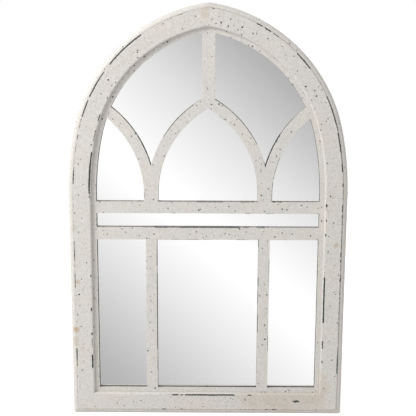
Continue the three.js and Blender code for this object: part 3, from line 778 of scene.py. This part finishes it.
def fretwork_board():
    """The cut board with a lip that reaches LIP_EDGE in from the outline, as a bmesh."""
    mesh = frame["nodes"]["fretwork"].data
    front = BACK_Y - FRETWORK_FRONT * MM
    points = [(v.co.x / MM, (v.co.z - FOOT_Z) / MM) for v in mesh.vertices]
    faces = [
        list(face.vertices) for face in mesh.polygons
        if all(abs(mesh.vertices[i].co.y - front) < 1e-5 for i in face.vertices)
    ]
    start = len(points)
    outer, inner = outline(FRAME_WIDTH - LIP_BEHIND), outline(LIP_EDGE)
    count = len(outer)
    points += outer + inner
    for i in range(count):
        k = (i + 1) % count
        faces.append([start + i, start + k, start + count + k, start + count + i])
    made, triangles = union_of(points, faces)
    bm = bmesh.new()
    for name in MASKS:
        bm.verts.layers.float.new(name)
    verts = [bm.verts.new(place([(p.x, p.y, FRETWORK_FRONT)])[0]) for p in made]
    for triangle in triangles:
        bm.faces.new([verts[i] for i in triangle])
    bmesh.ops.delete(bm, geom=[v for v in bm.verts if not v.link_faces], context="VERTS")
    bmesh.ops.dissolve_limit(bm, angle_limit=math.radians(0.4), verts=bm.verts, edges=bm.edges)
    split_rim(bm, [e for e in bm.edges if e.is_boundary], RIM_STEP)
    made = bmesh.ops.extrude_face_region(bm, geom=list(bm.faces), use_keep_orig=True)
    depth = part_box("fretwork")[1].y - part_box("fretwork")[0].y
    moved = [g for g in made["geom"] if isinstance(g, bmesh.types.BMVert)]
    bmesh.ops.translate(bm, verts=moved, vec=(0, depth, 0))
    bmesh.ops.recalc_face_normals(bm, faces=bm.faces)
    return bm, front


def within(x, y, sides):
    """Whether a point lies inside closed loops of sides, holes left out (even-odd rule)."""
    crossings = 0
    for (ax, ay), (bx, by) in sides:
        if (ay > y) != (by > y) and x < ax + (y - ay) * (bx - ax) / (by - ay):
            crossings += 1
    return crossings % 2 == 1


SLIVER = 0.5  # mm2; a region between loops of which no triangle is larger is left out


def filled(points, edges, sites):
    """Triangles between closed loops of edges, through every site; holes are left out."""
    spots = [Vector(p) for p in points + sites]
    made, lines, triangles, sources, origins, _ = delaunay_2d_cdt(spots, edges, [], 0, 1e-4)
    walls = {frozenset(line) for line, origin in zip(lines, origins) if origin}
    beside = {}
    for number, triangle in enumerate(triangles):
        for side in zip(triangle, triangle[1:] + triangle[:1]):
            beside.setdefault(frozenset(side), []).append(number)
    sides = [(points[a], points[b]) for a, b in edges]
    left = set(range(len(triangles)))
    kept = []
    while left:
        region = [left.pop()]
        for number in region:
            triangle = triangles[number]
            for side in zip(triangle, triangle[1:] + triangle[:1]):
                if frozenset(side) in walls:
                    continue
                fresh = left.intersection(beside[frozenset(side)])
                left -= fresh
                region += fresh
        size, largest = max((area_tri(*[made[i] for i in triangles[n]]), n) for n in region)
        middle = sum((made[i] for i in triangles[largest]), Vector((0, 0))) / 3
        if size > SLIVER and within(middle.x, middle.y, sides):
            kept += [triangles[number] for number in region]
    return made, kept, sources


def speck_front(bm, faces, layer):
    """The front faces again as triangles, with a few points around every larger speck."""
    front = set(faces)
    rim = [e for e in bm.edges if sum(f in front for f in e.link_faces) == 1]
    verts = list(dict.fromkeys(v for e in rim for v in e.verts))
    index = {v: i for i, v in enumerate(verts)}
    points = [drawn(v) for v in verts]
    edges = [tuple(index[v] for v in e.verts) for e in rim]
    sites, levels = [], []
    for x, y, radius in FRET_SPECKS:
        sites.append((x, y))
        levels.append(1.0)
        for reach, level in ((0.7, 1.0), (1.5, 0.0)):
            for i in range(8):
                angle = math.pi * (i / 4 + reach)
                sites.append(around(x, y, reach * radius, angle))
                levels.append(level)
    made, triangles, sources = filled(points, edges, sites)
    plane = verts[0].co.y
    bmesh.ops.delete(bm, geom=faces, context="FACES_ONLY")
    used = []
    for point, source in zip(made, sources):
        old = [i for i in source if i < len(verts)]
        if old:
            used.append(verts[old[0]])
            continue
        vert = bm.verts.new(place([(point.x, point.y, 0)])[0])
        vert.co.y = plane
        vert[layer] = levels[source[0] - len(verts)] if source else 0.0
        used.append(vert)
    for triangle in triangles:
        bm.faces.new([used[i] for i in triangle])
    loose = [v for v in bm.verts if not v.link_faces]
    bmesh.ops.delete(bm, geom=loose, context="VERTS")
    loose = [e for e in bm.edges if not e.link_faces]
    bmesh.ops.delete(bm, geom=loose, context="EDGES")


def build_fretwork():
    """The cut board with eased front edges, rubbed through in places, and its cut sides darkened with
    undercoat and painted shade save where they face up.
    """
    bm, front = fretwork_board()
    mesh = bpy.data.meshes.new("painted_fretwork")
    piece = bpy.data.objects.new("painted_fretwork", mesh)
    bpy.context.scene.collection.objects.link(piece)

    def on_front(vert):
        return abs(vert.co.y - front) < 1e-5

    rim = [e for e in sharp_edges(bm) if on_front(e.verts[0]) and on_front(e.verts[1])]
    bmesh.ops.bevel(
        bm, geom=rim, offset=FRET_EASE * MM, segments=2, profile=0.5, affect="EDGES", clamp_overlap=True
    )
    faces = [f for f in bm.faces if all(on_front(v) for v in f.verts)]
    bmesh.ops.inset_region(
        bm, faces=faces, thickness=FRET_EDGE * MM, use_boundary=True, use_even_offset=True
    )
    inner = {v for f in faces for v in f.verts}
    layers = {name: bm.verts.layers.float[name] for name in MASKS}
    bm.normal_update()
    for vert in bm.verts:
        x, y = drawn(vert)
        depth = (vert.co.y - front) / MM
        vert[layers["edge"]] = 0.0 if vert in inner else 1.0
        if vert in inner:
            continue
        # Cut sides that don't face up get dark towards their back: undercoat and painted shade. Those
        # facing up, towards the light, stay pale.
        wall_wear_and_shade = 0.0 if vert.normal.z > 0.5 else WALL_WEAR_AND_SHADE
        vert[layers["worn"]] = rubbed(x, y) if depth < 3 else wall_wear_and_shade
    speck_front(bm, faces, layers["worn"])
    bmesh.ops.recalc_face_normals(bm, faces=bm.faces)
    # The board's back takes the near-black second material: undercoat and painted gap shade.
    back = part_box("fretwork")[1].y
    for face in bm.faces:
        face.material_index = int(all(abs(v.co.y - back) < 1e-5 for v in face.verts))
    flat = [abs(face.normal.y) > 0.999 for face in bm.faces]
    finish_piece(piece, bm, "fretwork", "frame", FRET_PAINT)
    mesh.polygons.foreach_set("use_smooth", [not f for f in flat])
    mesh.materials.append(DARK_BOARD_AND_GAP_SHADE)


def slab(name, source, front, back, shrink):
    """The outline of a node's back face as a thin closed sheet between two planes (Y, metres)."""
    piece, bm = copy_of(name, source)
    lowest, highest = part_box(source)
    middle = (lowest + highest) / 2
    for vert in bm.verts:
        vert.co.y = front if vert.co.y < middle.y else back
        flat = Vector((vert.co.x - middle.x, 0, vert.co.z - middle.z))
        if flat.length:
            vert.co -= flat.normalized() * shrink * MM
    return piece, bm


def build_glass():
    """The pane, and the silvering that lies sunk in its back."""
    eased("glass_pane", "mirror_glass", "frame", CLEAR_GLASS, 0.4)
    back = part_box("mirror_glass")[1].y
    piece, bm = slab("silvering", "mirror_glass", back - 0.2 * MM, back - 0.05 * MM, 0.6)
    finish_piece(piece, bm, "mirror_glass", "frame", SILVER)


COATS = {
    "backing_board": HARDBOARD, "dowel_wood": BEECH, "zinc_plate": ZINC_PLATE,
    "zinc_wire": ZINC_WIRE, "zinc_screw": ZINC_SCREW, "rubber": RUBBER,
}
EASED = {"backing_board": 0.3, "zinc_plate": 0.2, "zinc_screw": 0.12, "rubber": 0.5}


def build_fittings():
    """Every other node: eased and plated, or just given its material."""
    owner = {n: b for b, names in frame["record"]["behaviour"]["bodies"].items() for n in names}
    for name, slot in SLOTS.items():
        if slot not in COATS:
            continue
        if slot in EASED:
            eased(f"{name}_finished", name, owner[name], COATS[slot], EASED[slot])
        else:
            holder = frame["nodes"][name]
            holder.data.materials.clear()
            holder.data.materials.append(COATS[slot])


# ---------------------------------------------------------------- stage, lights and camera


def build_floor():
    size = 4.0
    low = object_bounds()[0].z
    corners = [(-size, -size), (size, -size), (size, size), (-size, size)]
    floor = new_mesh("floor", [(x, y, low) for x, y in corners], [(0, 1, 2, 3)])
    made = bpy.data.materials.new("pale_floor")
    made.use_nodes = True
    tree = made.node_tree
    tree.nodes.clear()
    coat = node(tree, "BsdfDiffuse", {"Color": (0.82, 0.81, 0.8, 1)})
    glow = node(tree, "Emission", {"Color": (1, 1, 1, 1), "Strength": 0.5})
    both = node(tree, "AddShader", {0: coat.outputs[0], 1: glow.outputs[0]})
    camera = node(tree, "LightPath").outputs["Is Camera Ray"]
    mixed = node(tree, "MixShader", {0: camera, 1: coat.outputs[0], 2: both.outputs[0]})
    node(tree, "OutputMaterial", {"Surface": mixed.outputs[0]})
    floor.data.materials.append(made)
    floor.visible_glossy = False
    floor.visible_transmission = False


# The room that the mirror shows: a bright band that runs down to the right, darker on both sides.
# Its tones are set to give the pane the gradient of the piece that this one is rebuilt from.
# Glossy and transmitted rays see it in place of the white background.
BAND_NORMAL = Vector((0.658, -0.171, 0.734)).normalized()
BAND_TONES = [
    (-0.60, 0.80), (-0.30, 0.44), (-0.19, 0.44), (-0.17, 0.49), (-0.13, 0.62), (-0.073, 0.82),
    (-0.033, 0.94), (-0.014, 1.0), (0.014, 1.0), (0.047, 0.90), (0.096, 0.755), (0.141, 0.585),
    (0.181, 0.45), (0.26, 0.44), (0.60, 0.80),
]
AMBIENT = 0.6
ROOM_LIGHT = 1.09  # strength of the band


def build_world():
    world = bpy.data.worlds.new("studio")
    bpy.context.scene.world = world
    world.use_nodes = True
    tree = world.node_tree
    tree.nodes.clear()
    way = node(tree, "TexCoord").outputs["Generated"]
    across = node(tree, "VectorMath", {0: way, 1: BAND_NORMAL}, operation="DOT_PRODUCT").outputs["Value"]
    share = ramp(tree, across, -1, 1, 0, 1, "LINEAR")
    tones = node(tree, "ValToRGB", {"Fac": share})
    steps = tones.color_ramp.elements
    steps[0].position, steps[1].position = 0.0, 1.0
    for element, tone in zip(steps, (0.85, 0.85)):
        element.color = (tone, tone, tone, 1)
    for position, tone in BAND_TONES:
        steps.new((position + 1) / 2).color = (tone, tone, tone, 1)
    path = node(tree, "LightPath").outputs
    mirrored = calc(tree, "MAXIMUM", path["Is Glossy Ray"], path["Is Transmission Ray"])
    ambient = node(tree, "Background", {"Color": (1, 1, 1, 1), "Strength": AMBIENT})
    room = node(tree, "Background", {"Color": tones.outputs[0], "Strength": ROOM_LIGHT})
    white = node(tree, "Background", {"Color": (1, 1, 1, 1), "Strength": 1.0})
    seen = node(tree, "MixShader", {0: mirrored, 1: ambient.outputs[0], 2: room.outputs[0]})
    all_rays = node(tree, "MixShader", {0: path["Is Camera Ray"], 1: seen.outputs[0], 2: white.outputs[0]})
    node(tree, "OutputWorld", {"Surface": all_rays.outputs[0]})


def lamp(name, location, target, size, power):
    data = bpy.data.lights.new(name, "AREA")
    data.shape = "DISK"
    data.size = size
    data.energy = power
    made = bpy.data.objects.new(name, data)
    made.location = location
    made.rotation_euler = (Vector(target) - Vector(location)).to_track_quat("-Z", "Y").to_euler()
    bpy.context.scene.collection.objects.link(made)


def build_lights():
    middle = (0, 0, -0.15)
    lamp("key", (-2.30, -1.34, 1.61), middle, 1.3, 75)
    lamp("back", (1.2, 1.9, 1.0), middle, 1.2, 12)


# The camera looks slightly down at the mirror, from about 2 m in front of the fretwork.
IMAGE = 416  # width and height of the picture, in pixels
FOCAL = 910  # in pixels
CAMERA_AT = (2.4, 867.6, FRETWORK_FRONT + 1944.8)
PITCH = 0.1986
YAW = -0.0012
ROLL = 0.0046


def build_camera():
    data = bpy.data.cameras.new("camera")
    data.sensor_width = 36
    data.lens = FOCAL / IMAGE * data.sensor_width
    data.clip_start, data.clip_end = 0.01, 50
    camera = bpy.data.objects.new("camera", data)
    turn = Matrix.Rotation(-YAW, 4, "Z") @ Matrix.Rotation(math.pi / 2 - PITCH, 4, "X")
    turn = turn @ Matrix.Rotation(ROLL, 4, "Z")
    camera.matrix_world = Matrix.Translation(place([CAMERA_AT])[0]) @ turn
    bpy.context.scene.collection.objects.link(camera)
    bpy.context.scene.camera = camera


build_frame()
build_fretwork()
build_glass()
build_fittings()
build_floor()
build_world()
build_lights()
build_camera()
bpy.context.scene.view_settings.view_transform = "Standard"
